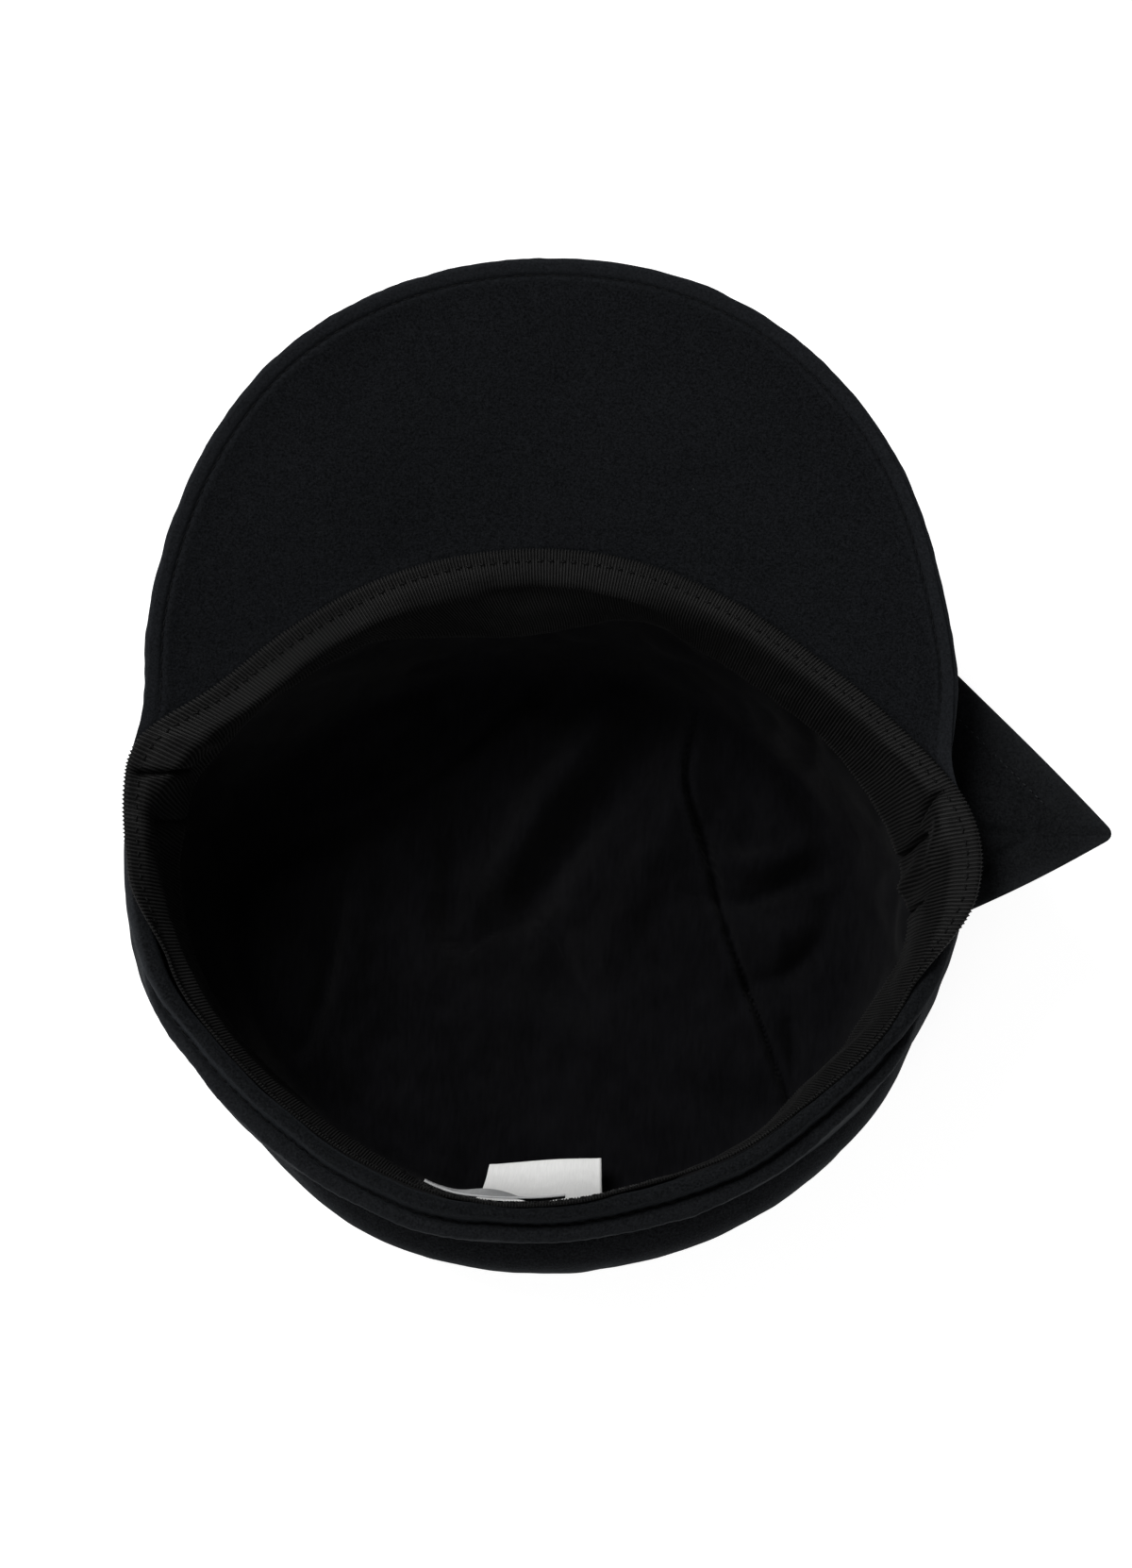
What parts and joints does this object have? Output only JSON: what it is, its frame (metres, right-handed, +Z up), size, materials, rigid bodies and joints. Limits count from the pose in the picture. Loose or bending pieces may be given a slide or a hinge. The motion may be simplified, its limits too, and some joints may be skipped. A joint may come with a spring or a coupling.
{
  "type": "soft wool work cap with a stiffened visor and a side bow end, lying crown down",
  "caption": "Soft black wool work cap with a stiffened visor, ribbed sweatband, loose lining and a pointed bow end at the side, resting on its crown with the opening up.",
  "frame": {"origin": "middle of the crown top's flat outer face, which the cap rests on", "axes": "+Z up out of the head opening, +Y toward the visor, +X toward the bow end"},
  "size_m": [0.2468, 0.2438, 0.1107],
  "materials": {
    "crown_wool": "black wool melton, felted matt face with a short fuzz",
    "band_wool": "black wool melton, turned and stitched",
    "visor_wool": "bluish black wool melton over a stiffener, topstitched edge",
    "sweat_ribbon": "black grosgrain ribbon with fine cross ribs",
    "lining_cotton": "thin black plain-weave cotton, softly creased",
    "bow_wool": "black wool melton, hemmed with a mitred point",
    "label_satin": "plain white satin tape",
    "label_woven": "plain light grey woven tape"
  },
  "bodies": {
    "root": {"crown_top": "crown_wool", "crown_side": "crown_wool", "headband": "band_wool", "visor": "visor_wool", "sweatband": "sweat_ribbon", "lining": "lining_cotton", "side_bow_end": "bow_wool", "care_label": "label_satin", "woven_label": "label_woven"}
  },
  "joints": []
}
